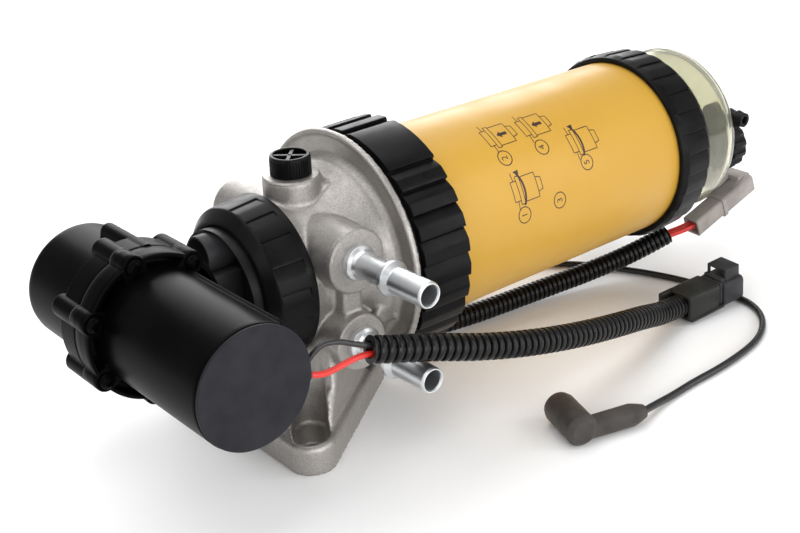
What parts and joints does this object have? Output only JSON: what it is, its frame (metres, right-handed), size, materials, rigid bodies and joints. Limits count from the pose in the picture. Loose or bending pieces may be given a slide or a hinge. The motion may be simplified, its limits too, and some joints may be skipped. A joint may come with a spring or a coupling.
{
  "type": "fuel priming pump with filter head",
  "caption": "Electric diesel fuel priming pump on a cast filter head, with a twist-lock water separator cartridge, clear bowl, hose nipples and wiring harness.",
  "frame": {"origin": "centre of the mounting foot's flat face, midway between its two bolt holes", "axes": "+X along the filter from the pump to the bowl, +Z away from the foot's flat face, hose nipples point to -Y"},
  "size_m": [0.4736, 0.2111, 0.1515],
  "materials": {
    "cast_aluminium": "cast, bead blasted",
    "black_nylon": "satin moulded",
    "black_plastic": "matte moulded",
    "pump_black": "gloss black coating",
    "yellow_paint": "gloss enamel",
    "plated_steel": "zinc plated",
    "tinned_steel": "plain",
    "seal_rubber": "matte",
    "filter_paper": "resin treated paper",
    "clear_bowl": "clear tinted plastic",
    "sensor_grey": "satin moulded",
    "red_wire": "pvc insulation",
    "black_wire": "pvc insulation",
    "conduit_black": "corrugated",
    "boot_rubber": "matte",
    "ferrite": "plain",
    "copper": "plain",
    "carbon": "plain",
    "steel": "ground"
  },
  "bodies": {
    "main": {"filter_head": "cast_aluminium", "head_seal_ring": "seal_rubber", "cartridge_can": "yellow_paint", "cartridge_top_plate": "black_plastic", "cartridge_grommet": "seal_rubber", "cartridge_bottom_collar": "black_plastic", "centre_tube": "black_plastic", "pleated_media": "filter_paper", "upper_end_cap": "black_plastic", "lower_end_cap": "black_plastic", "bowl_seal_ring": "seal_rubber", "sediment_bowl": "clear_bowl", "drain_valve_body": "black_plastic", "water_sensor": "sensor_grey", "sensor_probes": "steel", "sensor_plug": "sensor_grey", "inlet_nipple": "plated_steel", "outlet_nipple": "plated_steel", "nipple_seals": "seal_rubber", "pump_base": "black_plastic", "base_seal_ring": "seal_rubber", "pump_housing": "pump_black", "housing_gasket": "seal_rubber", "housing_screws": "pump_black", "motor_housing": "pump_black", "motor_cap": "black_plastic", "motor_can": "tinned_steel", "magnets": "ferrite", "brush_holder": "black_plastic", "brushes": "carbon", "front_bearing": "steel", "rear_bearing": "steel", "shaft_seal": "seal_rubber", "lead_grommet": "seal_rubber", "power_connector_pins": "black_plastic", "power_connector_latch": "black_plastic", "harness_splice": "black_plastic", "elbow_boot": "boot_rubber", "motor_conduit": "conduit_black", "red_lead": "red_wire", "black_lead": "black_wire", "sensor_conduit": "conduit_black", "sensor_lead_near": "red_wire", "sensor_lead_far": "red_wire", "boot_lead": "black_wire"},
    "head_ring": {"head_lock_ring": "black_nylon"},
    "bowl_ring": {"bowl_lock_ring": "black_nylon"},
    "pump_ring": {"pump_lock_ring": "black_nylon"},
    "drain_control": {"drain_knob": "black_plastic"},
    "bleed_screw": {"vent_plug": "black_nylon"},
    "rotor": {"motor_shaft": "steel", "armature": "tinned_steel", "windings": "copper", "commutator": "copper", "impeller": "black_plastic"}
  },
  "joints": [
    {"name": "head_ring_turn", "type": "hinge", "parent": "main", "child": "head_ring", "pos_m": [0.085, 0, 0.085], "axis": [1, 0, 0], "range_deg": [0, 360]},
    {"name": "bowl_ring_turn", "type": "hinge", "parent": "main", "child": "bowl_ring", "pos_m": [0.295, 0, 0.085], "axis": [1, 0, 0], "range_deg": [0, 360]},
    {"name": "pump_ring_turn", "type": "hinge", "parent": "main", "child": "pump_ring", "pos_m": [0.005, 0, 0.085], "axis": [1, 0, 0], "range_deg": [0, 360]},
    {"name": "drain_knob_turn", "type": "hinge", "parent": "main", "child": "drain_control", "pos_m": [0.36, -0.024, 0.073], "axis": [1, 0, 0], "range_deg": [0, 360]},
    {"name": "bleed_screw_turn", "type": "hinge", "parent": "main", "child": "bleed_screw", "pos_m": [0.035, 0, 0.14], "axis": [0, 0, 1], "range_deg": [0, 360]},
    {"name": "motor_spin", "type": "hinge", "parent": "main", "child": "rotor", "pos_m": [-0.0575, -0.05, 0.085], "axis": [0, 1, 0], "continuous": true}
  ]
}
